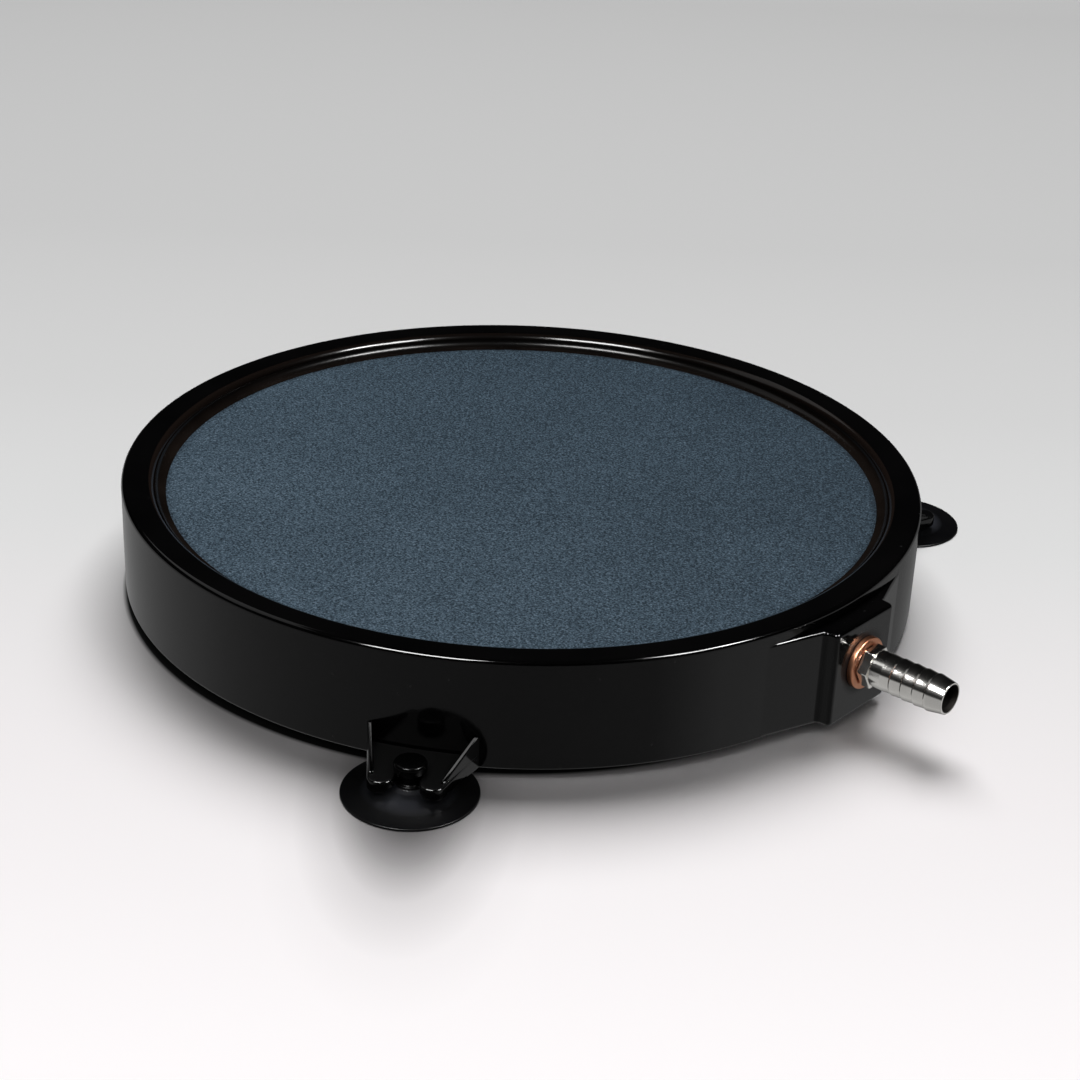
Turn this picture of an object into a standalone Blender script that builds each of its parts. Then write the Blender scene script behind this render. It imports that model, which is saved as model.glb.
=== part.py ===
"""Round disc air stone for an aquarium or pond: a black moulded tray with a porous stone disc
sealed into it, a hose barb with its washer in a port block, and three suction cups that slide
into slotted holders on the tray's wall.  Metres, +Z up.  Origin: centre of the tray's flat
underside.  The port points along +X.
"""
import math

import bmesh
import bpy
from mathutils import Matrix

MM = 0.001

# Driving dimensions, in millimetres unless the name says otherwise.
TRAY_RADIUS = 100.0
TRAY_HEIGHT = 27.0
RIM_INNER_RADIUS = 94.0
RIM_OUTER_ROUND = 1.2
FLOOR_THICKNESS = 3.0
STONE_SEAT_RADIUS = 92.0
LEDGE_RADIUS = 88.0
GAP = 0.3

STONE_RADIUS = 91.3
STONE_THICKNESS = 6.5
STONE_RECESS = 3.9
STONE_EDGE_ROUND = 0.8

BEAD_INNER_RADIUS = 89.2
BEAD_RISE = 2.3

SUPPORT_RADIUS = 4.0
SUPPORT_RING_RADIUS = 46.0
SUPPORT_COUNT = 6

BLOCK_FACE_X = 105.0
BLOCK_HALF_WIDTH = 11.0
BLOCK_SHOULDER_X = 101.8
FLANK_END = (96.4, 26.5)
BLOCK_ROOT_X = 94.5
BLOCK_TOP = 24.0
BLOCK_BEVEL = 0.9

PORT_Z = 13.2
PORT_HOLE_RADIUS = 4.3
PORT_HOLE_DEPTH = 10.0
AIR_PASSAGE_RADIUS = 2.5

WASHER_BORE_RADIUS = 4.3
WASHER_RADIUS = 6.3
WASHER_THICKNESS = 1.2

BARB_LENGTH = 23.5
BARB_BORE_RADIUS = 3.0
BARB_TIP_RADIUS = 3.8
BARB_VALLEY_RADIUS = 4.08
BARB_CREST_RADIUS = 4.5
BARB_FIRST_CREST = 7.2
BARB_PITCH = 3.05
BARB_COUNT = 5
HEX_ACROSS_FLATS = 9.0
HEX_START = 1.8
HEX_END = 4.4
STEM_RADIUS = 3.9
STEM_LENGTH = 9.0

CUP_ANGLES_DEG = (-60.0, 60.0, 180.0)
CUP_CENTRE_RADIUS = 109.7
CUP_RADIUS = 15.2
CUP_DROP = 1.7
NECK_RADIUS = 2.4
COLLAR_RADIUS = 3.0
COLLAR_TOP = 1.3
HEAD_RADIUS = 3.7
HEAD_BOTTOM = 3.85
HEAD_TOP = 6.2

HOLDER_HALF_WIDTH = 12.3
SHELF_TOP = 3.5
SHELF_BOTTOM = 0.6
CHANNEL_HALF_WIDTH = 4.2
CHANNEL_TOP = 1.75
SLOT_HALF_WIDTH = 2.75
PRONG_RADIUS = 2.8
PRONG_END_X = 112.8
GUSSET_THICKNESS = 1.1
GUSSET_HEIGHT = 7.9
GUSSET_END_TOP = 3.9
HOLDER_ROOT_X = 96.5

TRAY_STEPS = 96
SMALL_STEPS = 32


# ---------------------------------------------------------------- scene and materials

def clear_scene():
    for obj in list(bpy.data.objects):
        bpy.data.objects.remove(obj, do_unlink=True)


def new_collection(name):
    collection = bpy.data.collections.new(name)
    bpy.context.scene.collection.children.link(collection)
    return collection


def make_material(name, colour, roughness, metallic=0.0):
    material = bpy.data.materials.new(name)
    material.use_nodes = True
    shader = material.node_tree.nodes["Principled BSDF"]
    shader.inputs["Base Color"].default_value = (*colour, 1.0)
    shader.inputs["Roughness"].default_value = roughness
    shader.inputs["Metallic"].default_value = metallic
    return material


clear_scene()
PARTS = new_collection("air_stone")
CUTTERS = new_collection("cutters")

TRAY_PLASTIC = make_material("gloss black plastic", (0.012, 0.012, 0.013), 0.2)
STONE = make_material("blue grey sintered stone", (0.075, 0.11, 0.15), 0.9)
SEALANT = make_material("brown black sealant", (0.03, 0.02, 0.017), 0.18)
NICKEL = make_material("nickel plate", (0.75, 0.73, 0.69), 0.15, 1.0)
COPPER = make_material("copper", (0.78, 0.4, 0.25), 0.3, 1.0)
RUBBER = make_material("black soft vinyl", (0.02, 0.02, 0.022), 0.35)


# ---------------------------------------------------------------- shape helpers

def link_object(name, mesh, collection, material=None):
    obj = bpy.data.objects.new(name, mesh)
    collection.objects.link(obj)
    if material is not None:
        mesh.materials.clear()
        mesh.materials.append(material)
    return obj


def mark_cutter(obj):
    obj.hide_render = True
    obj.display_type = "WIRE"
    return obj


def arc(centre, radius, start_deg, end_deg, count):
    """Points on an arc, both ends included."""
    points = []
    for i in range(count + 1):
        angle = math.radians(start_deg + (end_deg - start_deg) * i / count)
        points.append((centre[0] + radius * math.cos(angle), centre[1] + radius * math.sin(angle)))
    return points


def turned(name, profile, collection, material=None, steps=SMALL_STEPS, closed=False):
    """A profile of (radius, height) points in millimetres, turned about the object's Z axis."""
    mesh = bpy.data.meshes.new(name)
    edges = [(i, i + 1) for i in range(len(profile) - 1)]
    if closed:
        edges.append((len(profile) - 1, 0))
    mesh.from_pydata([(r * MM, 0.0, z * MM) for r, z in profile], edges, [])
    obj = link_object(name, mesh, collection, material)
    screw = obj.modifiers.new("turn", "SCREW")
    screw.axis = "Z"
    screw.angle = math.tau
    screw.steps = steps
    screw.render_steps = steps
    screw.use_merge_vertices = True
    screw.merge_threshold = 0.00001
    return obj


def cylinder(name, radius, length, collection, steps=SMALL_STEPS):
    """A closed cylinder about the object's Z axis, from 0 up to its length."""
    mesh = bpy.data.meshes.new(name)
    bm = bmesh.new()
    bmesh.ops.create_cone(bm, cap_ends=True, segments=steps, radius1=radius * MM,
                          radius2=radius * MM, depth=length * MM)
    bmesh.ops.translate(bm, verts=bm.verts, vec=(0.0, 0.0, length * MM / 2))
    bm.to_mesh(mesh)
    bm.free()
    return link_object(name, mesh, collection)


def frozen_mesh(obj):
    """The object's evaluated shape as a new mesh with its loose seams welded."""
    graph = bpy.context.evaluated_depsgraph_get()
    mesh = bpy.data.meshes.new_from_object(obj.evaluated_get(graph))
    bm = bmesh.new()
    bm.from_mesh(mesh)
    bmesh.ops.remove_doubles(bm, verts=bm.verts, dist=0.00001)
    bmesh.ops.recalc_face_normals(bm, faces=bm.faces)
    bm.to_mesh(mesh)
    bm.free()
    return mesh


def plate(name, outline, thickness, collection):
    """A flat closed outline of (x, y) millimetre points, extruded half its thickness each way."""
    curve = bpy.data.curves.new(name, "CURVE")
    curve.dimensions = "2D"
    curve.fill_mode = "BOTH"
    curve.extrude = thickness * MM / 2
    spline = curve.splines.new("POLY")
    spline.points.add(len(outline) - 1)
    for point, (x, y) in zip(spline.points, outline):
        point.co = (x * MM, y * MM, 0.0, 1.0)
    spline.use_cyclic_u = True
    drawn = bpy.data.objects.new(name + "_outline", curve)
    collection.objects.link(drawn)
    mesh = frozen_mesh(drawn)
    bpy.data.objects.remove(drawn, do_unlink=True)
    return link_object(name, mesh, collection)


def combine(obj, other, operation):
    step = obj.modifiers.new(operation.lower() + "_" + other.name, "BOOLEAN")
    step.operation = operation
    step.solver = "EXACT"
    step.object = other


def soften(obj, width, segments=2, angle_deg=35.0):
    bevel = obj.modifiers.new("soft_edges", "BEVEL")
    bevel.width = width * MM
    bevel.segments = segments
    bevel.limit_method = "ANGLE"
    bevel.angle_limit = math.radians(angle_deg)


def shade_round(obj, angle_deg=35.0):
    obj.data.shade_smooth()
    obj.data.set_sharp_from_angle(angle=math.radians(angle_deg))


# ---------------------------------------------------------------- tray

def port_block():
    """The flat-faced block on the tray's wall, with two flanks that run into the wall."""
    side = [(BLOCK_FACE_X, BLOCK_HALF_WIDTH),
            (BLOCK_SHOULDER_X, BLOCK_HALF_WIDTH + 0.4),
            FLANK_END,
            (BLOCK_ROOT_X, FLANK_END[1] - 1.0)]
    outline = side + [(x, -y) for x, y in reversed(side)]
    block = mark_cutter(plate("port_block", outline, BLOCK_TOP, CUTTERS))
    block.location.z = BLOCK_TOP * MM / 2
    soften(block, BLOCK_BEVEL, segments=3, angle_deg=50.0)
    return block


def stone_supports():
    """Round posts on the tray's floor that hold the stone up: one ring and one in the centre."""
    height = TRAY_HEIGHT - STONE_RECESS - STONE_THICKNESS - GAP
    places = [(0.0, 0.0)]
    for i in range(SUPPORT_COUNT):
        angle = math.tau * (i + 0.5) / SUPPORT_COUNT
        places.append((SUPPORT_RING_RADIUS * math.cos(angle), SUPPORT_RING_RADIUS * math.sin(angle)))
    posts = []
    for number, (x, y) in enumerate(places, 1):
        post = cylinder("post_%d" % number, SUPPORT_RADIUS, height - 1.0, CUTTERS, steps=16)
        post.location = (x * MM, y * MM, MM)
        posts.append(mark_cutter(post))
    return posts


def port_cutter(name, radius, start_x, length):
    cutter = mark_cutter(cylinder(name, radius, length, CUTTERS, steps=SMALL_STEPS))
    cutter.rotation_euler = (0.0, math.pi / 2, 0.0)
    cutter.location = (start_x * MM, 0.0, PORT_Z * MM)
    return cutter


def shelf_outline():
    """The slotted shelf seen from above: x is outwards from the tray's centre."""
    prong_y = SLOT_HALF_WIDTH + PRONG_RADIUS
    right = arc((PRONG_END_X, -prong_y), PRONG_RADIUS, -70.0, 90.0, 8)
    slot = arc((CUP_CENTRE_RADIUS, 0.0), SLOT_HALF_WIDTH, -90.0, -270.0, 8)
    left = arc((PRONG_END_X, prong_y), PRONG_RADIUS, -90.0, 70.0, 8)
    return ([(HOLDER_ROOT_X, -HOLDER_HALF_WIDTH), (TRAY_RADIUS, -HOLDER_HALF_WIDTH)]
            + right + slot + left
            + [(TRAY_RADIUS, HOLDER_HALF_WIDTH), (HOLDER_ROOT_X, HOLDER_HALF_WIDTH)])


def gusset(side):
    """One thin upright web along the shelf's slanted edge, drawn in its own plane."""
    name = "gusset_right" if side < 0 else "gusset_left"
    half = GUSSET_THICKNESS / 2
    prong_y = SLOT_HALF_WIDTH + PRONG_RADIUS
    slant = math.atan2(HOLDER_HALF_WIDTH - prong_y - PRONG_RADIUS, PRONG_END_X - TRAY_RADIUS)
    run = (PRONG_END_X - TRAY_RADIUS) / math.cos(slant)
    root = -3.0
    outline = [(root, 0.0), (0.0, 0.0), (run, SHELF_BOTTOM), (run, GUSSET_END_TOP),
               (0.0, GUSSET_HEIGHT), (root, GUSSET_HEIGHT)]
    web = mark_cutter(plate(name, outline, GUSSET_THICKNESS, CUTTERS))
    web.rotation_euler = (math.pi / 2, 0.0, -side * slant)
    web.location = (TRAY_RADIUS * MM, side * (HOLDER_HALF_WIDTH - half) * MM, 0.0)
    return web


def holder_mesh():
    """A suction cup's holder: slotted shelf, two webs, and a channel below for the cup's collar."""
    shelf = plate("shelf", shelf_outline(), SHELF_TOP - SHELF_BOTTOM, CUTTERS)
    shelf.data.transform(Matrix.Translation((0.0, 0.0, (SHELF_TOP + SHELF_BOTTOM) / 2 * MM)))
    reach = PRONG_END_X + PRONG_RADIUS + 3.0
    channel = plate("channel", [(TRAY_RADIUS + 1.0, -CHANNEL_HALF_WIDTH), (reach, -CHANNEL_HALF_WIDTH),
                                (reach, CHANNEL_HALF_WIDTH), (TRAY_RADIUS + 1.0, CHANNEL_HALF_WIDTH)],
                    4.0, CUTTERS)
    channel.location.z = (CHANNEL_TOP - 2.0) * MM
    helpers = [gusset(-1), gusset(1), mark_cutter(channel)]
    combine(shelf, helpers[0], "UNION")
    combine(shelf, helpers[1], "UNION")
    combine(shelf, channel, "DIFFERENCE")
    bpy.context.view_layer.update()
    mesh = frozen_mesh(shelf)
    for helper in helpers + [shelf]:
        bpy.data.objects.remove(helper, do_unlink=True)
    return mesh


def cup_holders():
    mesh = holder_mesh()
    holders = []
    for number, angle in enumerate(CUP_ANGLES_DEG, 1):
        holder = mark_cutter(link_object("holder_%d" % number, mesh, CUTTERS))
        holder.rotation_euler.z = math.radians(angle)
        holders.append(holder)
    return holders


def housing():
    ledge_top = TRAY_HEIGHT - STONE_RECESS - STONE_THICKNESS - GAP
    rim_round = RIM_INNER_RADIUS - STONE_SEAT_RADIUS
    rim_in = arc((RIM_INNER_RADIUS, TRAY_HEIGHT - rim_round), rim_round, 180.0, 90.0, 3)
    rim_out = arc((TRAY_RADIUS - RIM_OUTER_ROUND, TRAY_HEIGHT - RIM_OUTER_ROUND),
                  RIM_OUTER_ROUND, 90.0, 0.0, 2)
    profile = [(0.0, FLOOR_THICKNESS),
               (LEDGE_RADIUS, FLOOR_THICKNESS),
               (LEDGE_RADIUS, ledge_top),
               (STONE_SEAT_RADIUS, ledge_top)]
    profile += rim_in + rim_out
    profile += [(TRAY_RADIUS, 0.6), (TRAY_RADIUS - 0.6, 0.0), (0.0, 0.0)]
    tray = turned("housing", profile, PARTS, TRAY_PLASTIC, steps=TRAY_STEPS)
    combine(tray, port_block(), "UNION")
    for addition in stone_supports() + cup_holders():
        combine(tray, addition, "UNION")
    hole_start = BLOCK_FACE_X - PORT_HOLE_DEPTH
    combine(tray, port_cutter("port_hole", PORT_HOLE_RADIUS, hole_start, PORT_HOLE_DEPTH + 5.0),
            "DIFFERENCE")
    passage_start = LEDGE_RADIUS - 4.0
    combine(tray, port_cutter("air_passage", AIR_PASSAGE_RADIUS, passage_start,
                              hole_start - passage_start + 1.0), "DIFFERENCE")
    shade_round(tray)
    return tray


# ---------------------------------------------------------------- stone and sealant

def stone_disc():
    top = TRAY_HEIGHT - STONE_RECESS
    bottom = top - STONE_THICKNESS
    edge = arc((STONE_RADIUS - STONE_EDGE_ROUND, top - STONE_EDGE_ROUND),
               STONE_EDGE_ROUND, 90.0, 0.0, 2)
    profile = [(0.0, top)] + edge + [(STONE_RADIUS, bottom), (0.0, bottom)]
    shade_round(turned("stone_disc", profile, PARTS, STONE, steps=TRAY_STEPS))


def sealant_bead():
    """A concave fillet of sealant between the stone's top edge and the tray's inner wall."""
    base = TRAY_HEIGHT - STONE_RECESS + GAP
    wall = STONE_SEAT_RADIUS - GAP
    hollow = arc((BEAD_INNER_RADIUS, base + BEAD_RISE), BEAD_RISE, 0.0, -90.0, 3)
    profile = [(wall, base + BEAD_RISE), (wall, base), (BEAD_INNER_RADIUS, base)]
    profile += [(r, z + 0.15) for r, z in reversed(hollow)]
    bead = turned("sealant_bead", profile, PARTS, SEALANT, steps=TRAY_STEPS, closed=True)
    shade_round(bead)


# ---------------------------------------------------------------- hose fitting

def lay_on_port(obj):
    """Turns an object's Z axis to the port's direction, with its origin on the block's face."""
    obj.rotation_euler = (0.0, math.pi / 2, 0.0)
    obj.location = (BLOCK_FACE_X * MM, 0.0, PORT_Z * MM)


def copper_washer():
    half = WASHER_THICKNESS / 2
    start = GAP
    outer = arc((WASHER_RADIUS - half, start + half), half, 90.0, -90.0, 4)
    profile = outer + [(WASHER_BORE_RADIUS, start), (WASHER_BORE_RADIUS, start + WASHER_THICKNESS)]
    washer = turned("copper_washer", profile, PARTS, COPPER, closed=True)
    lay_on_port(washer)
    shade_round(washer)


def barb_outline():
    """The fitting's outer side, from its tip down to the end of its threaded stem."""
    points = [(0.0, BARB_LENGTH), (BARB_TIP_RADIUS, BARB_LENGTH)]
    for i in reversed(range(BARB_COUNT)):
        crest = BARB_FIRST_CREST + i * BARB_PITCH
        points.append((BARB_CREST_RADIUS, crest + 0.35))
        points.append((BARB_CREST_RADIUS, crest - 0.35))
        points.append((BARB_VALLEY_RADIUS, crest - 0.95))
        if i > 0:
            points.append((BARB_VALLEY_RADIUS, crest - 1.35))
    points += [(BARB_VALLEY_RADIUS, HEX_START + 0.5),
               (STEM_RADIUS, HEX_START + 0.2),
               (STEM_RADIUS, 0.6 - STEM_LENGTH),
               (STEM_RADIUS - 0.6, -STEM_LENGTH),
               (0.0, -STEM_LENGTH)]
    return points


def hose_barb():
    barb = turned("hose_barb", barb_outline(), PARTS, NICKEL)
    nut = mark_cutter(cylinder("hex", HEX_ACROSS_FLATS / math.sqrt(3.0), HEX_END - HEX_START,
                               CUTTERS, steps=6))
    lay_on_port(nut)
    nut.location.x += HEX_START * MM
    bore = port_cutter("barb_bore", BARB_BORE_RADIUS, BLOCK_FACE_X - STEM_LENGTH - 2.0,
                       STEM_LENGTH + BARB_LENGTH + 4.0)
    combine(barb, nut, "UNION")
    combine(barb, bore, "DIFFERENCE")
    lay_on_port(barb)
    shade_round(barb)


# ---------------------------------------------------------------- suction cups

def cup_mesh():
    """The cup about its own Z axis: head, neck, collar and thin skirt, hollow underneath."""
    lip = CUP_RADIUS - 1.0
    profile = [(0.0, HEAD_TOP),
               (1.8, HEAD_TOP - 0.15),
               (3.1, HEAD_TOP - 0.8),
               (HEAD_RADIUS, HEAD_TOP - 1.7),
               (3.4, HEAD_BOTTOM),
               (NECK_RADIUS, HEAD_BOTTOM),
               (NECK_RADIUS, COLLAR_TOP),
               (COLLAR_RADIUS, COLLAR_TOP - 0.2),
               (3.4, 0.6),
               (4.2, 0.2),
               (7.0, -0.25),
               (11.0, -0.85),
               (CUP_RADIUS, -CUP_DROP + 0.4),
               (CUP_RADIUS, -CUP_DROP),
               (lip, -CUP_DROP),
               (9.0, -1.4),
               (4.0, -0.9),
               (0.0, -0.7)]
    pattern = turned("cup_pattern", profile, CUTTERS, RUBBER, steps=SMALL_STEPS)
    mesh = frozen_mesh(pattern)
    bpy.data.objects.remove(pattern, do_unlink=True)
    mesh.name = "suction_cup"
    return mesh


def suction_cups():
    """Each cup hangs from an empty at the tray's centre, turned to the cup's direction."""
    mesh = cup_mesh()
    for number, angle in enumerate(CUP_ANGLES_DEG, 1):
        station = bpy.data.objects.new("station_%d" % number, None)
        PARTS.objects.link(station)
        station.rotation_euler.z = math.radians(angle)
        cup = link_object("suction_cup_%d" % number, mesh, PARTS, RUBBER)
        cup.parent = station
        cup.location.x = CUP_CENTRE_RADIUS * MM
        shade_round(cup)


housing()
stone_disc()
sealant_bead()
copper_washer()
hose_barb()
suction_cups()
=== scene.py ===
import math
import bpy
import bmesh
from mathutils import Matrix, Vector


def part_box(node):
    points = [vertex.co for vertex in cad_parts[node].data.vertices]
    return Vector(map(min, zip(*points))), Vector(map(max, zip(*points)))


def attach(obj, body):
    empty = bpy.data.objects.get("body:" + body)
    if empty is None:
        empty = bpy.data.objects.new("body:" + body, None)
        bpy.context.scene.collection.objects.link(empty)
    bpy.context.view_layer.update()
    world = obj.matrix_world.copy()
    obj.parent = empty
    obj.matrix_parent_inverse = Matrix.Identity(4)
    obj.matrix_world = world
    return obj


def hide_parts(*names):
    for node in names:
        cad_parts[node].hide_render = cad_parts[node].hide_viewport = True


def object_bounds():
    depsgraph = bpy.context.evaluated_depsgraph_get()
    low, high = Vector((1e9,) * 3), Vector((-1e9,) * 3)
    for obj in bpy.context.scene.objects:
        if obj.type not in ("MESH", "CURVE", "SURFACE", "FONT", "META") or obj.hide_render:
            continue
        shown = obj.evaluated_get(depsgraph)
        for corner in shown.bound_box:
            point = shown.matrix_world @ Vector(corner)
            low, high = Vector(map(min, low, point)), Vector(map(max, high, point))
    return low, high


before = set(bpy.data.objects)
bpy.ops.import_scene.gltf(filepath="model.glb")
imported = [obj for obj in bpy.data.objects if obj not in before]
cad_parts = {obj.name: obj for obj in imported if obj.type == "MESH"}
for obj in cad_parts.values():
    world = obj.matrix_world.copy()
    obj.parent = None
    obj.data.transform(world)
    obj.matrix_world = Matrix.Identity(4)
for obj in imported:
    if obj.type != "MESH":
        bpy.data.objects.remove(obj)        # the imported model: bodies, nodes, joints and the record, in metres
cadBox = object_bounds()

print("air stone: frame loaded,", len(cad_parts), "nodes")

mm = 0.001
scene = bpy.context.scene

# where the frame says things are
stoneLow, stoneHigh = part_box("stone_disc")
washerLow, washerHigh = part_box("copper_washer")
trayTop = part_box("housing")[1].z
trayCentre = Vector(((stoneLow.x + stoneHigh.x) / 2, (stoneLow.y + stoneHigh.y) / 2, 0.0))
stoneTop = stoneHigh.z
stoneRadius = (stoneHigh.x - stoneLow.x) / 2
bondGap = 0.3 * mm       # the frame leaves this between the washer and the port's face
portFace = Vector((washerLow.x - bondGap,
                   (washerLow.y + washerHigh.y) / 2,
                   (washerLow.z + washerHigh.z) / 2))
floorHeight = cadBox[0].z
cupNames = ["suction_cup_1", "suction_cup_2", "suction_cup_3"]


# small modelling helpers

# outline points (a, b, radius) with each corner turned into an arc of its radius
def softened(points, closed=False, steps=6):
    line = []
    count = len(points)
    for i, (a, b, radius) in enumerate(points):
        if radius == 0 or (not closed and i in (0, count - 1)):
            line.append((a, b))
            continue
        here = Vector((a, b, 0))
        toBefore = (Vector((*points[i - 1][:2], 0)) - here).normalized()
        toAfter = (Vector((*points[(i + 1) % count][:2], 0)) - here).normalized()
        half = toBefore.angle(toAfter) / 2
        centre = here + (toBefore + toAfter).normalized() * radius / math.sin(half)
        first = here + toBefore * radius / math.tan(half) - centre
        last = here + toAfter * radius / math.tan(half) - centre
        for step in range(steps + 1):
            spot = centre + first.normalized().slerp(last.normalized(), step / steps) * radius
            line.append((spot.x, spot.y))
    return line


# a turned shape about Z from (radius, height, corner radius) points, in mm
def spun(points, steps, closed=False, cornerSteps=6):
    bm = bmesh.new()
    line = [bm.verts.new((a * mm, 0, b * mm)) for a, b in softened(points, closed, cornerSteps)]
    pairs = list(zip(line, line[1:])) + ([(line[-1], line[0])] if closed else [])
    edges = [bm.edges.new(pair) for pair in pairs]
    bmesh.ops.spin(bm, geom=line + edges, cent=(0, 0, 0), axis=(0, 0, 1), dvec=(0, 0, 0),
                   angle=math.tau, steps=steps, use_merge=True, use_duplicate=False)
    bmesh.ops.remove_doubles(bm, verts=bm.verts, dist=0.001 * mm)
    bmesh.ops.recalc_face_normals(bm, faces=bm.faces)
    return bm


# a flat plate from plan points (x, y, corner radius), between two heights, in mm
def plate(points, low, high, edgeRound=0.0, edgeSteps=3, cornerSteps=8):
    bm = bmesh.new()
    outline = softened(points, True, cornerSteps)
    face = bm.faces.new([bm.verts.new((a * mm, b * mm, low * mm)) for a, b in outline])
    raised = bmesh.ops.extrude_face_region(bm, geom=[face], use_keep_orig=True)["geom"]
    bmesh.ops.translate(bm, verts=[v for v in raised if isinstance(v, bmesh.types.BMVert)],
                        vec=(0, 0, (high - low) * mm))
    bmesh.ops.recalc_face_normals(bm, faces=bm.faces)
    if edgeRound:
        roundEdges(bm, edgeRound, edgeSteps)
    return bm


def roundEdges(bm, width, segments, sharperThan=40):
    limit = math.radians(sharperThan)
    edges = [e for e in bm.edges if len(e.link_faces) == 2 and e.calc_face_angle(0) > limit]
    bmesh.ops.bevel(bm, geom=edges, offset=width * mm, offset_type="OFFSET", affect="EDGES",
                    segments=segments, profile=0.5, material=-1, clamp_overlap=True)


# a plain cylinder that stands on the origin, in mm
def rod(radius, length, steps=48):
    bm = bmesh.new()
    bmesh.ops.create_cone(bm, cap_ends=True, cap_tris=False, segments=steps,
                          radius1=radius * mm, radius2=radius * mm, depth=length * mm)
    bmesh.ops.translate(bm, verts=bm.verts, vec=(0, 0, length / 2 * mm))
    return bm


def moved(bm, matrix):
    bmesh.ops.transform(bm, matrix=matrix, verts=bm.verts)
    return bm


def asObject(bm, name):
    mesh = bpy.data.meshes.new(name)
    bm.to_mesh(mesh)
    bm.free()
    piece = bpy.data.objects.new(name, mesh)
    scene.collection.objects.link(piece)
    return piece


# joins tools to base, or cuts them out of it, and leaves one clean mesh
def combined(base, tools, operation):
    for tool in tools:
        step = base.modifiers.new("step", "BOOLEAN")
        step.operation, step.solver, step.object = operation, "EXACT", tool
    bpy.context.view_layer.update()
    result = bpy.data.meshes.new_from_object(base.evaluated_get(bpy.context.evaluated_depsgraph_get()))
    base.modifiers.clear()
    base.data = result
    for tool in tools:
        bpy.data.objects.remove(tool, do_unlink=True)


# shading, finish and body for a piece whose place is already in its mesh
def finished(piece, material, body, nodes, sharpAngle=35):
    piece.data.materials.clear()
    piece.data.materials.append(material)
    piece.data.shade_smooth()
    piece.data.set_sharp_from_angle(angle=math.radians(sharpAngle))
    even = piece.modifiers.new("even shading", "WEIGHTED_NORMAL")
    even.keep_sharp = True
    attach(piece, body)
    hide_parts(*nodes)
    print("  made", piece.name, len(piece.data.polygons), "faces")


# shader groups shared by the finishes

# adds nodes to a tree and links them in one line
class Wiring:

    def __init__(self, tree):
        self.tree = tree

    def add(self, kind, inputs=None, **settings):
        node = self.tree.nodes.new(kind)
        for key, value in settings.items():
            setattr(node, key, value)
        for key, value in (inputs or {}).items():
            if isinstance(value, bpy.types.NodeSocket):
                self.tree.links.new(value, node.inputs[key])
            else:
                node.inputs[key].default_value = value
        return node

    def ramp(self, factor, stops):
        node = self.add("ShaderNodeValToRGB", {"Fac": factor})
        elements = node.color_ramp.elements
        while len(elements) < len(stops):
            elements.new(0.5)
        for element, (position, colour) in zip(elements, stops):
            element.position = position
            element.color = (*colour, 1) if isinstance(colour, tuple) else (colour, colour, colour, 1)
        return node.outputs["Color"]

    def scaled(self, value, fromLow, fromHigh, toLow, toHigh):
        node = self.add("ShaderNodeMapRange", {"Value": value, "From Min": fromLow, "From Max": fromHigh,
                                               "To Min": toLow, "To Max": toHigh})
        return node.outputs["Result"]

    def math(self, operation, a, b):
        return self.add("ShaderNodeMath", {0: a, 1: b}, operation=operation).outputs[0]

    # the first colour where the factor is 0, the second laid on or multiplied in where it is 1
    def blended(self, factor, first, second, kind="MIX"):
        node = self.add("ShaderNodeMix", {0: factor, 6: first, 7: second}, data_type="RGBA", blend_type=kind)
        return node.outputs[2]


def newGroup(name, inputs, outputs):
    group = bpy.data.node_groups.new(name, "ShaderNodeTree")
    for title, kind, value in inputs:
        socket = group.interface.new_socket(title, in_out="INPUT", socket_type=kind)
        if value is not None:
            socket.default_value = value
    for title, kind in outputs:
        group.interface.new_socket(title, in_out="OUTPUT", socket_type=kind)
    wiring = Wiring(group)
    return group, wiring, wiring.add("NodeGroupInput"), wiring.add("NodeGroupOutput")


dustSpecks = {"cells": 420.0, "core": 0.05, "edge": 0.16, "rarity": 0.93, "roughens": 0.5}


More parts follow.
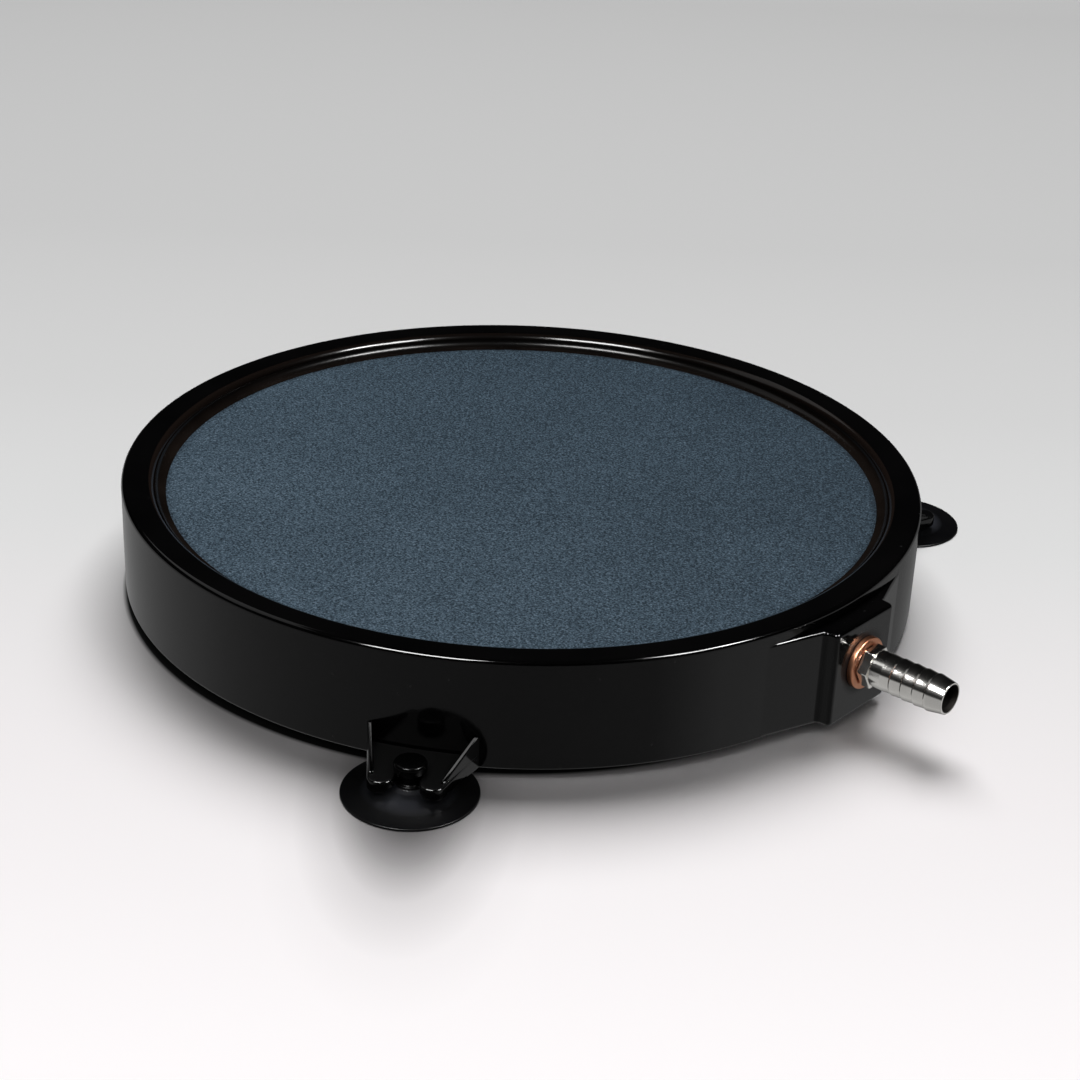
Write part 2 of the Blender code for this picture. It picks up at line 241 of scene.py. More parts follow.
# fine scuffs, soft smudges and sparse dust for moulded, rubber and metal surfaces
def surfaceMarksGroup():
    group, w, given, result = newGroup(
        "surfaceMarks",
        [("Position", "NodeSocketVector", None), ("Base Roughness", "NodeSocketFloat", 0.2),
         ("Smudge Size", "NodeSocketFloat", 60.0), ("Smudge Amount", "NodeSocketFloat", 0.08),
         ("Grain Size", "NodeSocketFloat", 1800.0), ("Dust Amount", "NodeSocketFloat", 0.3)],
        [("Roughness", "NodeSocketFloat"), ("Height", "NodeSocketFloat"), ("Dust", "NodeSocketFloat")])
    place = given.outputs["Position"]
    smudge = w.add("ShaderNodeTexNoise", {"Vector": place, "Scale": given.outputs["Smudge Size"],
                                          "Detail": 5.0, "Roughness": 0.62}).outputs["Fac"]
    shift = w.math("MULTIPLY", w.math("SUBTRACT", smudge, 0.5), given.outputs["Smudge Amount"])
    roughness = w.math("ADD", given.outputs["Base Roughness"], shift)
    grain = w.add("ShaderNodeTexNoise", {"Vector": place, "Scale": given.outputs["Grain Size"],
                                         "Detail": 3.0, "Roughness": 0.55}).outputs["Fac"]
    specks = w.add("ShaderNodeTexVoronoi", {"Vector": place, "Scale": dustSpecks["cells"], "Randomness": 1.0})
    core = w.scaled(specks.outputs["Distance"], dustSpecks["core"], dustSpecks["edge"], 1.0, 0.0)
    chosen = w.add("ShaderNodeSeparateColor", {"Color": specks.outputs["Color"]}).outputs["Red"]
    rare = w.math("GREATER_THAN", chosen, dustSpecks["rarity"])
    dust = w.math("MULTIPLY", w.math("MULTIPLY", core, rare), given.outputs["Dust Amount"])
    dusty = w.math("ADD", roughness, w.math("MULTIPLY", dust, dustSpecks["roughens"]))
    w.tree.links.new(dusty, result.inputs["Roughness"])
    w.tree.links.new(grain, result.inputs["Height"])
    w.tree.links.new(dust, result.inputs["Dust"])
    return group


surfaceMarks = surfaceMarksGroup()


def newMaterial(name):
    material = bpy.data.materials.new(name)
    material.use_nodes = True
    w = Wiring(material.node_tree)
    shader = material.node_tree.nodes["Principled BSDF"]
    place = w.add("ShaderNodeTexCoord").outputs["Object"]
    return material, w, shader, place


def bumped(w, shader, height, strength, distance):
    bump = w.add("ShaderNodeBump", {"Height": height, "Strength": strength, "Distance": distance})
    w.tree.links.new(bump.outputs["Normal"], shader.inputs["Normal"])


# a finish from the surfaceMarks group: colour varies with cloudiness, roughness with smudges
def markedFinish(name, look):
    material, w, shader, place = newMaterial(name)
    marks = w.add("ShaderNodeGroup", node_tree=surfaceMarks)
    w.tree.links.new(place, marks.inputs["Position"])
    for key, value in look["marks"].items():
        marks.inputs[key].default_value = value
    cloud = w.add("ShaderNodeTexNoise", {"Vector": place, "Scale": look["cloudSize"], "Detail": 4.0})
    colour = w.ramp(cloud.outputs["Fac"], [(0.3, look["dark"]), (0.7, look["light"])])
    dusty = w.blended(marks.outputs["Dust"], colour, (*look["dust"], 1))
    w.tree.links.new(dusty, shader.inputs["Base Color"])
    w.tree.links.new(marks.outputs["Roughness"], shader.inputs["Roughness"])
    shader.inputs["Metallic"].default_value = look.get("metallic", 0.0)
    shader.inputs["Specular IOR Level"].default_value = look.get("specular", 0.5)
    bumped(w, shader, marks.outputs["Height"], look["bump"], look["bumpDepth"] * mm)
    return material, w, shader, place


upright = (1.0, 1.0, 0.0)        # what to keep of a place to measure from an upright axis
level = (0.0, 1.0, 1.0)          # and from a level one along X


# 1 closer than the radius to an upright or level axis through a point, 0 beyond it
def nearAxis(w, place, point, keep, radius, blur):
    across = w.add("ShaderNodeVectorMath", {0: place, 1: keep}, operation="MULTIPLY").outputs["Vector"]
    foot = [a * b for a, b in zip(point, keep)]
    span = w.add("ShaderNodeVectorMath", {0: across, 1: foot}, operation="DISTANCE").outputs["Value"]
    return w.scaled(span, radius - blur / 2, radius + blur / 2, 1.0, 0.0)


# lays another colour and roughness over a finish where the mask is 1
def overlaid(w, shader, mask, colour, roughness):
    plain = shader.inputs["Base Color"].links[0].from_socket
    w.tree.links.new(w.blended(mask, plain, (*colour, 1)), shader.inputs["Base Color"])
    smooth = shader.inputs["Roughness"].links[0].from_socket
    rough = w.add("ShaderNodeMix", {0: mask, 2: smooth, 3: roughness})
    w.tree.links.new(rough.outputs[0], shader.inputs["Roughness"])


trayLook = {"dark": (0.0012, 0.0012, 0.0013), "light": (0.0024, 0.0023, 0.0024), "dust": (0.12, 0.12, 0.12),
            "cloudSize": 35.0, "bump": 0.05, "bumpDepth": 0.02, "specular": 0.25,
            "marks": {"Base Roughness": 0.085, "Smudge Size": 45.0, "Smudge Amount": 0.05,
                      "Grain Size": 2200.0, "Dust Amount": 0.12}}
sealantLook = {"dark": (0.0040, 0.0029, 0.0024), "light": (0.0085, 0.0062, 0.0051), "dust": (0.2, 0.2, 0.2),
               "cloudSize": 60.0, "bump": 0.2, "bumpDepth": 0.05, "specular": 0.15,
               "marks": {"Base Roughness": 0.2, "Smudge Size": 80.0, "Smudge Amount": 0.1,
                         "Grain Size": 500.0, "Dust Amount": 0.1}}
cupLook = {"dark": (0.0018, 0.0018, 0.0022), "light": (0.0035, 0.0035, 0.0041), "dust": (0.1, 0.1, 0.1),
           "cloudSize": 90.0, "bump": 0.1, "bumpDepth": 0.03, "specular": 0.14,
           "marks": {"Base Roughness": 0.3, "Smudge Size": 120.0, "Smudge Amount": 0.12,
                     "Grain Size": 1500.0, "Dust Amount": 0.1}}
nickelLook = {"dark": (0.86, 0.84, 0.80), "light": (0.95, 0.93, 0.89), "dust": (0.35, 0.33, 0.3),
              "cloudSize": 150.0, "bump": 0.03, "bumpDepth": 0.01, "metallic": 1.0,
              "marks": {"Base Roughness": 0.15, "Smudge Size": 220.0, "Smudge Amount": 0.08,
                        "Grain Size": 1400.0, "Dust Amount": 0.2}}
copperLook = {"dark": (0.44, 0.18, 0.095), "light": (0.60, 0.28, 0.165), "dust": (0.3, 0.16, 0.1),
              "cloudSize": 300.0, "bump": 0.18, "bumpDepth": 0.03, "metallic": 1.0,
              "marks": {"Base Roughness": 0.30, "Smudge Size": 300.0, "Smudge Amount": 0.16,
                        "Grain Size": 1100.0, "Dust Amount": 0.2}}

innerWall = {"radius": 93.3, "blur": 0.2, "above": 20.0, "fade": 0.5,
             "colour": (0.0095, 0.0064, 0.0052), "roughness": 0.14}
portSeat = {"radius": 8.0, "blur": 2.0, "begins": 0.3, "full": 0.2,
            "colour": (0.0012, 0.0012, 0.0013), "roughness": 0.5}
shelfTop = {"radius": 100.6, "blur": 0.2, "height": 3.5, "slack": 0.08, "clearOfPort": 40.0, "portBlur": 1.0,
            "colour": (0.0016, 0.0016, 0.0017), "roughness": 0.3}


# gloss black, browner up the inner wall, duller on the port's face and on the holders' shelves
def trayFinish():
    material, w, shader, place = markedFinish("gloss tray plastic", trayLook)
    spot = w.add("ShaderNodeSeparateXYZ", {"Vector": place})

    wall = innerWall
    inside = nearAxis(w, place, trayCentre, upright, wall["radius"] * mm, wall["blur"] * mm)
    high = w.scaled(spot.outputs["Z"], wall["above"] * mm, (wall["above"] + wall["fade"]) * mm, 0.0, 1.0)
    overlaid(w, shader, w.math("MULTIPLY", inside, high), wall["colour"], wall["roughness"])

    seat = portSeat
    around = nearAxis(w, place, portFace, level, seat["radius"] * mm, seat["blur"] * mm)
    outside = w.scaled(spot.outputs["X"], portFace.x - seat["begins"] * mm, portFace.x - seat["full"] * mm,
                       0.0, 1.0)
    overlaid(w, shader, w.math("MULTIPLY", around, outside), seat["colour"], seat["roughness"])

    shelf = shelfTop
    nearTray = nearAxis(w, place, trayCentre, upright, shelf["radius"] * mm, shelf["blur"] * mm)
    nearPort = nearAxis(w, place, portFace, upright, shelf["clearOfPort"] * mm, shelf["portBlur"] * mm)
    beyond = w.math("MULTIPLY", w.math("SUBTRACT", 1.0, nearTray), w.math("SUBTRACT", 1.0, nearPort))
    atTop = w.math("COMPARE", spot.outputs["Z"], shelf["height"] * mm)
    atTop.node.inputs[2].default_value = shelf["slack"] * mm
    overlaid(w, shader, w.math("MULTIPLY", beyond, atTop), shelf["colour"], shelf["roughness"])
    return material


cupHeadPaintedShade = {"above": 2.8, "fade": 0.5, "colour": (0.0008, 0.0008, 0.0009), "roughness": 0.2}
cupPaintedSheen = {"radius": 7.5, "blur": 7.0, "below": 2.2, "fade": 0.3,
            "colour": (0.052, 0.055, 0.068), "roughness": 0.45}


# soft black rubber with a painted sheen, pale in the middle of each skirt, and painted shade on the head
def cupFinish():
    material, w, shader, place = markedFinish("soft cup rubber", cupLook)
    high = w.add("ShaderNodeSeparateXYZ", {"Vector": place}).outputs["Z"]
    # painted sheen: a pale colour laid round the middle of each cup's skirt
    paintedSheen = 0.0
    for name in cupNames:
        low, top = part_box(name)
        paintedSheen = w.math("ADD", paintedSheen, nearAxis(w, place, (low + top) / 2, upright,
                                              cupPaintedSheen["radius"] * mm, cupPaintedSheen["blur"] * mm))
    sheenTop = floorHeight + cupPaintedSheen["below"] * mm
    skirt = w.scaled(high, sheenTop, sheenTop + cupPaintedSheen["fade"] * mm, 1.0, 0.0)
    overlaid(w, shader, w.math("MULTIPLY", paintedSheen, skirt), cupPaintedSheen["colour"], cupPaintedSheen["roughness"])
    # painted shade: the head gets a blacker colour than the rest of the cup, and a smoother finish
    headLow = floorHeight + cupHeadPaintedShade["above"] * mm
    head = w.scaled(high, headLow, headLow + cupHeadPaintedShade["fade"] * mm, 0.0, 1.0)
    overlaid(w, shader, head, cupHeadPaintedShade["colour"], cupHeadPaintedShade["roughness"])
    return material


bore = {"radius": 3.42, "blur": 0.1, "colour": (0.012, 0.011, 0.010), "roughness": 0.6}


# bright plate, with painted shade inside the bore
def nickelFinish():
    material, w, shader, place = markedFinish("nickel plate", nickelLook)
    # painted shade: a dark, rough colour inside the bore
    inside = nearAxis(w, place, portFace, level, bore["radius"] * mm, bore["blur"] * mm)
    overlaid(w, shader, inside, bore["colour"], bore["roughness"])
    return material


stoneLook = {"grain": 1850.0, "pores": 2600.0, "patches": 28.0,
             "deep": (0.006, 0.013, 0.021), "middle": (0.030, 0.053, 0.075), "bright": (0.105, 0.150, 0.195),
             "deepAt": 0.29, "middleAt": 0.45, "brightAt": 0.645, "poreShade": 0.16, "patchShade": 0.10,
             "roughness": 0.82, "roughnessSway": 0.1, "specular": 0.12,
             "poreDepth": 0.6, "bump": 0.55, "bumpDepth": 0.35, "paintedLightSlope": (-0.13, -0.46, 0.0),
             "edgeRadius": 88.5, "edgeBlur": 1.6, "paintedEdgeShade": 0.09}


# blue-grey bonded grit: fused grains, dark pores between them and a few bright ones, with painted light paler
# towards one side and painted shade round the edge
def stoneFinish():
    look = stoneLook
    material, w, shader, place = newMaterial("bonded blue grey grit")
    grain = w.add("ShaderNodeTexNoise", {"Vector": place, "Scale": look["grain"], "Detail": 3.0,
                                         "Roughness": 0.7}).outputs["Fac"]
    cells = w.add("ShaderNodeTexVoronoi", {"Vector": place, "Scale": look["pores"]})
    gaps = w.scaled(cells.outputs["Distance"], 0.25, 0.85, 0.0, 1.0)
    patches = w.add("ShaderNodeTexNoise", {"Vector": place, "Scale": look["patches"], "Detail": 5.0,
                                           "Roughness": 0.6}).outputs["Fac"]
    tone = w.math("SUBTRACT", grain, w.math("MULTIPLY", gaps, look["poreShade"]))
    tone = w.math("ADD", tone, w.math("MULTIPLY", w.math("SUBTRACT", patches, 0.5), look["patchShade"]))
    # painted light: the tone grows paler in one direction across the disc
    paintedLight = w.add("ShaderNodeVectorMath", {0: place, 1: look["paintedLightSlope"]}, operation="DOT_PRODUCT")
    tone = w.math("ADD", tone, paintedLight.outputs["Value"])
    # painted shade: the tone darkens in a ring at the disc's edge, by the bead
    inner = nearAxis(w, place, trayCentre, upright, look["edgeRadius"] * mm, look["edgeBlur"] * mm)
    tone = w.math("SUBTRACT", tone, w.math("MULTIPLY", w.math("SUBTRACT", 1.0, inner), look["paintedEdgeShade"]))
    colour = w.ramp(tone, [(look["deepAt"], look["deep"]), (look["middleAt"], look["middle"]),
                           (look["brightAt"], look["bright"])])
    w.tree.links.new(colour, shader.inputs["Base Color"])
    w.tree.links.new(w.scaled(grain, 0.2, 0.8, look["roughness"] + look["roughnessSway"],
                              look["roughness"] - look["roughnessSway"]), shader.inputs["Roughness"])
    shader.inputs["Specular IOR Level"].default_value = look["specular"]
    height = w.math("SUBTRACT", grain, w.math("MULTIPLY", gaps, look["poreDepth"]))
    bumped(w, shader, height, look["bump"], look["bumpDepth"] * mm)
    return material


glossPlastic = trayFinish()
rubberSealant = markedFinish("dark rubber sealant", sealantLook)[0]
cupRubber = cupFinish()
nickelPlate = nickelFinish()
softCopper = markedFinish("soft copper", copperLook)[0]
blueGrit = stoneFinish()
print("finishes ready")

# tray: turned shell, port block, posts and three cup holders, joined into one moulding

tray = {"outer": 100.0, "outerRound": 1.2, "rimInner": 94.6, "seat": 92.0, "seatRound": 0.2, "ledge": 88.0,
        "ledgeRound": 0.3, "floor": 3.0, "floorRound": 0.8, "footRound": 0.6, "ledgeTop": 16.3, "steps": 288}
trayHigh = trayTop / mm

trayShell = asObject(spun(
    [(0, tray["floor"], 0),
     (tray["ledge"], tray["floor"], tray["floorRound"]),
     (tray["ledge"], tray["ledgeTop"], tray["ledgeRound"]),
     (tray["seat"], tray["ledgeTop"], tray["seatRound"]),
     (tray["seat"], trayHigh, tray["rimInner"] - tray["seat"]),
     (tray["outer"], trayHigh, tray["outerRound"]),
     (tray["outer"], 0, tray["footRound"]),
     (0, 0, 0)], tray["steps"], cornerSteps=8), "tray")

block = {"rootX": 94.5, "rootY": 25.5, "flankX": 96.4, "flankY": 26.5, "shoulderX": 101.8, "shoulderY": 11.4,
         "faceHalf": 11.0, "top": 24.0, "round": 1.1, "roundSteps": 5}
faceX = portFace.x / mm
blockHalf = [(faceX, block["faceHalf"], 0), (block["shoulderX"], block["shoulderY"], 0),
             (block["flankX"], block["flankY"], 0), (block["rootX"], block["rootY"], 0)]
blockOutline = blockHalf + [(x, -y, 0) for x, y, corner in reversed(blockHalf)]
portBlock = asObject(plate(blockOutline, 0.0, block["top"], block["round"], block["roundSteps"]), "block")

posts = {"radius": 4.0, "ring": 46.0, "count": 6, "low": 1.0}      # and one more in the middle
postPlaces = [(0, 0, posts["low"] * mm)]
for number in range(posts["count"]):
    turn = math.tau * (number + 0.5) / posts["count"]
    postPlaces.append((posts["ring"] * math.cos(turn) * mm, posts["ring"] * math.sin(turn) * mm,
                       posts["low"] * mm))
postHigh = tray["ledgeTop"] - posts["low"]
postPieces = [asObject(moved(rod(posts["radius"], postHigh), Matrix.Translation(spot)), "post")
              for spot in postPlaces]

holder = {"halfWidth": 12.3, "low": 0.6, "high": 3.5, "rootX": 96.5, "slotHalf": 2.75, "slotX": 109.7,
          "slotRound": 2.695, "prongRadius": 2.8, "prongX": 112.8, "prongRound": 2.632, "prongTaper": 0.3,
          "edgeRound": 0.45, "channelHalf": 4.2, "channelLow": -2.0, "channelTop": 1.75,
          "channelStart": 101.0, "channelPast": 3.0, "webThick": 1.1, "webRoot": -3.0,
          "webHigh": 7.9, "webEnd": 3.9, "webCorner": 0.8, "webRound": 0.3}


# one slotted shelf with a web along each slanted side, turned about the tray's centre
def holderPieces(turn):
    h = holder
    prongY = h["slotHalf"] + h["prongRadius"]
    outerY = prongY + h["prongRadius"]
    endX = h["prongX"] + h["prongRadius"]
    quarter = [(h["rootX"], h["halfWidth"], 0), (tray["outer"], h["halfWidth"], 0),
               (endX, outerY - h["prongTaper"], h["prongRound"]), (endX, h["slotHalf"], h["prongRound"]),
               (h["slotX"] - h["slotHalf"], h["slotHalf"], h["slotRound"])]
    outline = [(x, -y, corner) for x, y, corner in quarter] + list(reversed(quarter))
    shelf = asObject(plate(outline, h["low"], h["high"], h["edgeRound"], 4, 10), "shelf")
    slant = math.atan2(h["halfWidth"] - outerY, h["prongX"] - tray["outer"])
    run = (h["prongX"] - tray["outer"]) / math.cos(slant)
    webs = []
    for side in (-1, 1):
        web = plate([(h["webRoot"], 0, 0), (0, 0, 0), (run, h["low"], 0), (run, h["webEnd"], h["webCorner"]),
                     (0, h["webHigh"], 0), (h["webRoot"], h["webHigh"], 0)],
                    -h["webThick"] / 2, h["webThick"] / 2, h["webRound"], 3)
        stand = Matrix.Rotation(-side * slant, 4, "Z") @ Matrix.Rotation(math.pi / 2, 4, "X")
        foot = Matrix.Translation((tray["outer"] * mm, side * (h["halfWidth"] - h["webThick"] / 2) * mm, 0))
        webs.append(asObject(moved(web, foot @ stand), "web"))
    start, reach = h["channelStart"], endX + h["channelPast"]
    channel = asObject(plate([(start, -h["channelHalf"], 0), (reach, -h["channelHalf"], 0),
                              (reach, h["channelHalf"], 0), (start, h["channelHalf"], 0)],
                             h["channelLow"], h["channelTop"]), "channel")
    combined(shelf, webs, "UNION")
    combined(shelf, [channel], "DIFFERENCE")
    shelf.data.transform(Matrix.Rotation(turn, 4, "Z"))
    return shelf


cupBoxes = [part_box(name) for name in cupNames]
cupCentres = [(low + high) / 2 for low, high in cupBoxes]
cupTurns = [math.atan2(centre.y, centre.x) for centre in cupCentres]
holders = [holderPieces(turn) for turn in cupTurns]

port = {"hole": 4.3, "holeSteps": 64, "clear": 5.0, "depth": 10.0, "passage": 2.5, "passageStart": 84.0,
        "overlap": 1.0}
alongPort = Matrix.Translation(portFace) @ Matrix.Rotation(math.pi / 2, 4, "Y")
portHole = asObject(moved(rod(port["hole"], port["depth"] + port["clear"], port["holeSteps"]),
                          alongPort @ Matrix.Translation((0, 0, -port["depth"] * mm))), "hole")
passageStart = port["passageStart"] - faceX
portPassage = asObject(moved(rod(port["passage"], port["overlap"] - port["depth"] - passageStart),
                             alongPort @ Matrix.Translation((0, 0, passageStart * mm))), "passage")

combined(trayShell, [portBlock] + postPieces + holders, "UNION")
combined(trayShell, [portHole, portPassage], "DIFFERENCE")
finished(trayShell, glossPlastic, "tray", ["housing"])

# stone and the bead of sealant round it

stone = {"radius": stoneRadius / mm, "low": stoneLow.z / mm, "top": stoneTop / mm,
         "topRound": 0.8, "lowRound": 0.3, "steps": 288}
stonePiece = asObject(spun(
    [(0, stone["top"], 0), (stone["radius"], stone["top"], stone["topRound"]),
     (stone["radius"], stone["low"], stone["lowRound"]), (0, stone["low"], 0)], stone["steps"]), "stone")
finished(stonePiece, blueGrit, "tray", ["stone_disc"])

sealant = {"inner": 89.2, "wall": 92.03, "face": 91.86, "rise": 2.6, "fill": 0.95, "faceSteps": 9,
           "lift": -0.04, "lip": 0.07, "lipRound": 0.02, "filmTop": 2.7, "filmSlope": 0.1,
           "filmRound": 0.05, "steps": 288}
beadLow = stoneTop / mm + sealant["lift"]
filmHigh = trayHigh - sealant["filmTop"]
beadPoints = [(sealant["wall"], filmHigh, 0), (sealant["wall"], beadLow, 0),
              (sealant["inner"], beadLow, 0),
              (sealant["inner"], beadLow + sealant["lip"], sealant["lipRound"])]
for step in range(1, sealant["faceSteps"]):        # the hollow face
    swing = math.radians(90 * step / sealant["faceSteps"])
    climb = sealant["rise"] * (1 - math.cos(swing)) * sealant["fill"]
    beadPoints.append((sealant["inner"] + (sealant["face"] - sealant["inner"]) * math.sin(swing),
                       beadLow + sealant["lip"] + climb, 0))
beadPoints.append((sealant["face"], filmHigh - sealant["filmSlope"], sealant["filmRound"]))
sealantPiece = asObject(spun(beadPoints, sealant["steps"], closed=True, cornerSteps=3), "sealant")
finished(sealantPiece, rubberSealant, "tray", ["sealant_bead"])

# washer and hose barb on the port's axis

washer = {"bore": 4.3, "boreRound": 0.05, "outer": 6.3, "outerRound": 0.3, "start": 0.02, "end": 1.5,
          "steps": 128}
washerPoints = [(washer["bore"], washer["start"], washer["boreRound"]),
                (washer["outer"], washer["start"], washer["outerRound"]),
                (washer["outer"], washer["end"], washer["outerRound"]),
                (washer["bore"], washer["end"], washer["boreRound"])]
washerPiece = asObject(moved(spun(washerPoints, washer["steps"], closed=True), alongPort), "washer")
finished(washerPiece, softCopper, "tray", ["copper_washer"])

barb = {"length": 23.5, "bore": 3.0, "tip": 3.8, "valley": 4.24, "shank": 4.4, "crest": 4.5,
        "firstCrest": 7.2, "pitch": 3.05, "count": 5, "hexFlats": 9.0, "hexStart": 1.8, "hexEnd": 4.4,
        "hexRound": 0.25, "hexHole": 3.94, "stem": 3.9, "stemLength": 9.0,
        "chamfer": 0.6, "flare": 1.2, "steps": 128}
barbPoints = [(barb["bore"], -barb["stemLength"], 0),
              (barb["stem"] - barb["chamfer"], -barb["stemLength"], 0.1),
              (barb["stem"], barb["chamfer"] - barb["stemLength"], 0.1),
              (barb["stem"], barb["hexStart"] + 0.2, 0.1),
              (barb["valley"], barb["hexStart"] + 0.5, 0), (barb["valley"], barb["hexEnd"], 0.1),
              (barb["shank"], barb["hexEnd"] + 0.25, 0.2),
              (barb["shank"] + 0.04, barb["firstCrest"] + 0.3, 0.5)]
for number in range(1, barb["count"]):        # a short climb to each crest and a long fall from it
    crest = barb["firstCrest"] + number * barb["pitch"]
    barbPoints += [(barb["valley"], crest - 0.42, 0.2), (barb["crest"], crest - 0.1, 0.15),
                   (barb["crest"] - 0.04, crest + 0.35, 0.5)]
barbPoints += [(barb["tip"], barb["length"], 0.2), (barb["bore"] + 0.3, barb["length"], 0.12),
               (barb["bore"], barb["length"] - barb["flare"], 0.3)]
barbPiece = asObject(moved(spun(barbPoints, barb["steps"], closed=True, cornerSteps=4), alongPort), "barb")
finished(barbPiece, nickelPlate, "tray", ["hose_barb"])

hexCorner = barb["hexFlats"] / math.sqrt(3)
hexPlan = [(hexCorner * math.sin(math.tau * side / 6), hexCorner * math.cos(math.tau * side / 6), 0)
           for side in range(6)]
hexNut = asObject(moved(plate(hexPlan, barb["hexStart"], barb["hexEnd"], barb["hexRound"]), alongPort), "nut")
hexHole = asObject(moved(rod(barb["hexHole"], 10, 96), alongPort), "hole")
combined(hexNut, [hexHole], "DIFFERENCE")
finished(hexNut, nickelPlate, "tray", ["hose_barb"])
hexNut.name = "barb_hex"

# suction cups, each on its own body

cup = {"radius": 15.2, "drop": 1.7, "neck": 2.4, "collar": 3.0, "collarTop": 1.3,
       "head": 3.7, "headLow": 3.85, "headHigh": 6.2, "headRound": 0.35,
       "skirtTop": [(4.3, 0.2, 1.5), (7.0, -0.25, 2.0), (11.0, -0.8, 3.0)],
       "skirtUnder": [(9.0, -1.4, 2.0), (4.0, -0.95, 1.5), (0, -0.7, 0)], "steps": 128}


def cupShape():
    c = cup
    head = [(0, c["headHigh"] - 0.05, 0), (c["head"] - 0.35, c["headHigh"], c["headRound"]),
            (c["head"], c["headHigh"] - 0.6, c["headRound"]), (c["head"] - 0.1, c["headLow"], c["headRound"])]
    neck = [(c["neck"], c["headLow"], 0.3), (c["neck"], c["collarTop"], 0.25),
            (c["collar"], c["collarTop"] - 0.05, 0.2), (c["collar"] + 0.3, 0.6, 0.3)]
    rim = [(c["radius"] - 0.1, -c["drop"] + 0.5, 0.25), (c["radius"], -c["drop"], 0.1),
           (c["radius"] - 1.0, -c["drop"], 0.1)]
    return spun(head + neck + c["skirtTop"] + rim + c["skirtUnder"], c["steps"], cornerSteps=5)


for number, centre in enumerate(cupCentres, 1):
    place = Matrix.Translation((centre.x, centre.y, floorHeight + cup["drop"] * mm))
    cupPiece = asObject(moved(cupShape(), place), "cup_%d_rubber" % number)
    finished(cupPiece, cupRubber, "cup_%d" % number, [cupNames[number - 1]])

# camera

view = {"distance": 0.55629, "elevation": 24.5583, "bearing": -48.66, "roll": 2.2048, "pan": 0.5141,
        "tilt": -1.9064, "lens": 73.32}


# turns two square axes in their own plane
def turnedPair(a, b, degrees):
    c, s = math.cos(math.radians(degrees)), math.sin(math.radians(degrees))
    return a * c + b * s, b * c - a * s


target = Vector((trayCentre.x, trayCentre.y, trayTop))
bearing, rise = math.radians(view["bearing"]), math.radians(view["elevation"])
toCamera = Vector((math.cos(rise) * math.cos(bearing), math.cos(rise) * math.sin(bearing), math.sin(rise)))
ahead = -toCamera
right = ahead.cross(Vector((0, 0, 1))).normalized()
up = right.cross(ahead)
ahead, right = turnedPair(ahead, right, view["pan"])
ahead, up = turnedPair(ahead, up, view["tilt"])
right, up = turnedPair(right, up, view["roll"])
cameraData = bpy.data.cameras.new("camera")
cameraData.sensor_width = 36.0
cameraData.lens = view["lens"]
cameraData.clip_start = 0.01
camera = bpy.data.objects.new("camera", cameraData)
scene.collection.objects.link(camera)
camera.matrix_world = (Matrix.Translation(target + toCamera * view["distance"])
                       @ Matrix((right, up, -ahead)).transposed().to_4x4())
scene.camera = camera

# floor and light

studio = {"floorRadius": 6.0, "floorGap": 0.01, "floorRoughness": 0.9, "dome": 0.14,
          "mirrored": [(-180, 0.26), (-140, 0.34), (-100, 0.44), (-50, 0.34), (0, 0.26),
                       (40, 0.30), (60, 0.60), (100, 0.50), (140, 0.20), (180, 0.14)],
          "mirroredBelow": [(0.42, 1.0), (0.55, 0.0)],
          "paintedFalloffTones": [(-0.20, (0.980, 0.948, 0.956)), (-0.145, (0.888, 0.858, 0.866)),
                    (-0.10, (0.820, 0.792, 0.799)), (-0.03, (0.713, 0.700, 0.703)),
                    (0.02, 0.64), (0.11, 0.55), (0.26, 0.457), (0.65, 0.343)],
          "underBody": 96.0, "underBlur": 1.2, "underShift": 5.0, "underTurn": -50,
          "underShadowTone": (0.03, 0.03, 0.03), "cupShadeSquash": 0.415,
          "cupShade": [(6.5, 0.19), (11.3, 0.41), (16.8, 0.76), (24.5, 0.96), (32.0, 1.0)]}

floorMesh = bmesh.new()
bmesh.ops.create_circle(floorMesh, cap_ends=True, segments=96, radius=studio["floorRadius"])
bmesh.ops.translate(floorMesh, verts=floorMesh.verts, vec=(0, 0, floorHeight - studio["floorGap"] * mm))
floor = asObject(floorMesh, "floor")
floor.visible_glossy = False

floorFinish, w, shader, place = newMaterial("pale floor")
turnedPlace = w.add("ShaderNodeMapping", {"Vector": place,
                                          "Rotation": (0, 0, -(bearing + math.pi))}).outputs["Vector"]
away = w.add("ShaderNodeSeparateXYZ", {"Vector": turnedPlace}).outputs["X"]
# painted light falloff: the floor's colour runs from near white nearest the camera to grey far from it, with a
# faint warm tint near
nearest, farthest = studio["paintedFalloffTones"][0][0], studio["paintedFalloffTones"][-1][0]
reachAlong = w.scaled(away, nearest, farthest, 0.0, 1.0)
toneStops = [((far - nearest) / (farthest - nearest), tone) for far, tone in studio["paintedFalloffTones"]]
floorColour = w.ramp(reachAlong, toneStops)
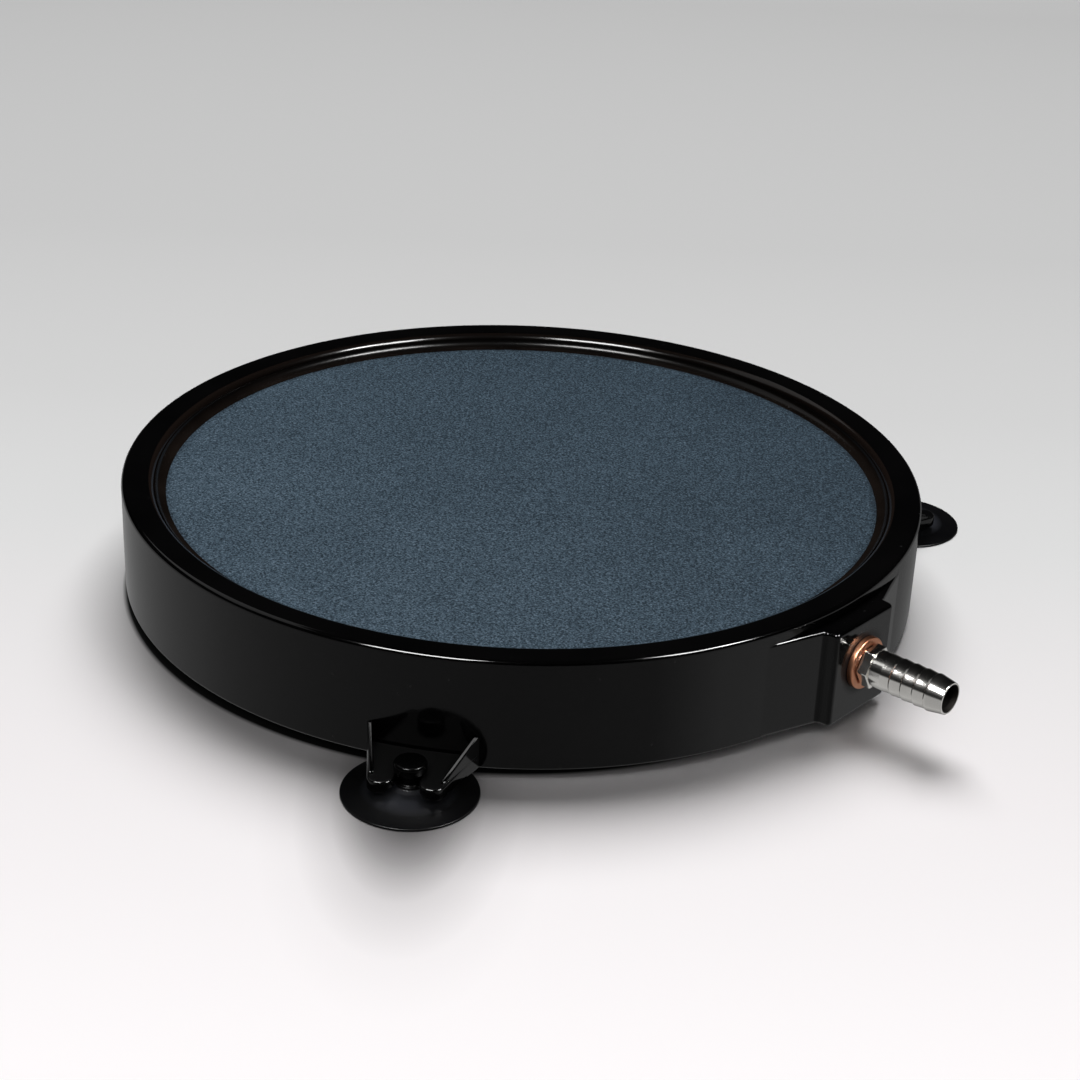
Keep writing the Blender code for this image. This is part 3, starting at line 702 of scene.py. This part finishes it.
# painted shadow: the floor is laid over with near black under the tray's edge, reaching furthest out towards the
# front left
underTurn = bearing + math.radians(studio["underTurn"])
underCentre = trayCentre + Vector((math.cos(underTurn), math.sin(underTurn), 0)) * studio["underShift"] * mm
underShadow = nearAxis(w, place, underCentre, upright, studio["underBody"] * mm, studio["underBlur"] * mm)
floorColour = w.blended(underShadow, floorColour, (*studio["underShadowTone"], 1))
squash = (studio["cupShadeSquash"], 1.0, 0.0)
flattened = w.add("ShaderNodeVectorMath", {0: turnedPlace, 1: squash}, operation="MULTIPLY").outputs["Vector"]
nearCup = max(cupCentres, key=lambda centre: centre.dot(toCamera))
cupSpot = Matrix.Rotation(-(bearing + math.pi), 3, "Z") @ Vector((nearCup.x, nearCup.y, 0))
fromCup = w.add("ShaderNodeVectorMath", {0: flattened, 1: [a * b for a, b in zip(cupSpot, squash)]},
                operation="DISTANCE").outputs["Value"]
shadeReach = studio["cupShade"][-1][0] * mm
shade = w.ramp(w.scaled(fromCup, 0.0, shadeReach, 0.0, 1.0),
               [(far * mm / shadeReach, tone) for far, tone in studio["cupShade"]])
w.tree.links.new(w.blended(1.0, floorColour, shade, "MULTIPLY"), shader.inputs["Base Color"])
shader.inputs["Roughness"].default_value = studio["floorRoughness"]
shader.inputs["Specular IOR Level"].default_value = 0.0
floor.data.materials.append(floorFinish)

world = bpy.data.worlds.new("studio")
world.use_nodes = True
scene.world = world
w = Wiring(world.node_tree)
background = world.node_tree.nodes["Background"]
outwardsSky = w.add("ShaderNodeMapping", {"Vector": w.add("ShaderNodeTexCoord").outputs["Generated"],
                                          "Rotation": (0, 0, -bearing)}).outputs["Vector"]
sky = w.add("ShaderNodeSeparateXYZ", {"Vector": outwardsSky})
roundAbout = w.scaled(w.math("ARCTAN2", sky.outputs["Y"], sky.outputs["X"]), -math.pi, math.pi, 0.0, 1.0)
glow = w.ramp(roundAbout, [((angle + 180) / 360, tone) for angle, tone in studio["mirrored"]])
below = w.ramp(w.scaled(sky.outputs["Z"], -0.3, 0.3, 0.0, 1.0), studio["mirroredBelow"])
mirrored = w.blended(1.0, glow, below, "MULTIPLY")
seen = w.add("ShaderNodeLightPath").outputs["Is Glossy Ray"]
dome = studio["dome"]
w.tree.links.new(w.blended(seen, (dome, dome, dome, 1), mirrored), background.inputs["Color"])

# a lamp's bearing starts at the camera's side and grows to its right; soft lamps light, the rest gleam
lamps = {
    "overhead": {"bearing": 178, "rise": 55, "away": 2.6, "size": (1.9, 1.8), "power": 96, "soft": True},
    "gleamLeft": {"bearing": -30, "rise": 50, "away": 1.0, "size": (0.42, 0.28), "power": 20, "soft": False},
    "gleamRight": {"bearing": 52, "rise": 46, "away": 1.0, "size": (0.17, 0.28), "power": 9, "soft": False},
    "gleamEdge": {"bearing": 68, "rise": 45, "away": 1.0, "size": (0.16, 0.20), "power": 10, "soft": False},
    "gleamSide": {"bearing": -114, "rise": 47, "away": 1.0, "size": (1.00, 0.45), "power": 1, "soft": False},
}
for name, lamp in lamps.items():
    data = bpy.data.lights.new(name, "AREA")
    data.shape = "RECTANGLE"
    data.size, data.size_y = lamp["size"]
    data.energy = lamp["power"]
    light = bpy.data.objects.new(name, data)
    scene.collection.objects.link(light)
    turn = bearing + math.radians(lamp["bearing"])
    lift = math.radians(lamp["rise"])
    outwards = Vector((math.cos(lift) * math.cos(turn), math.cos(lift) * math.sin(turn), math.sin(lift)))
    light.matrix_world = (Matrix.Translation(target + outwards * lamp["away"])
                          @ outwards.to_track_quat("Z", "Y").to_matrix().to_4x4())
    light.visible_diffuse = lamp["soft"]
    light.visible_glossy = not lamp["soft"]
    light.visible_camera = False

scene.view_settings.view_transform = "Standard"
print("camera, floor and light ready")
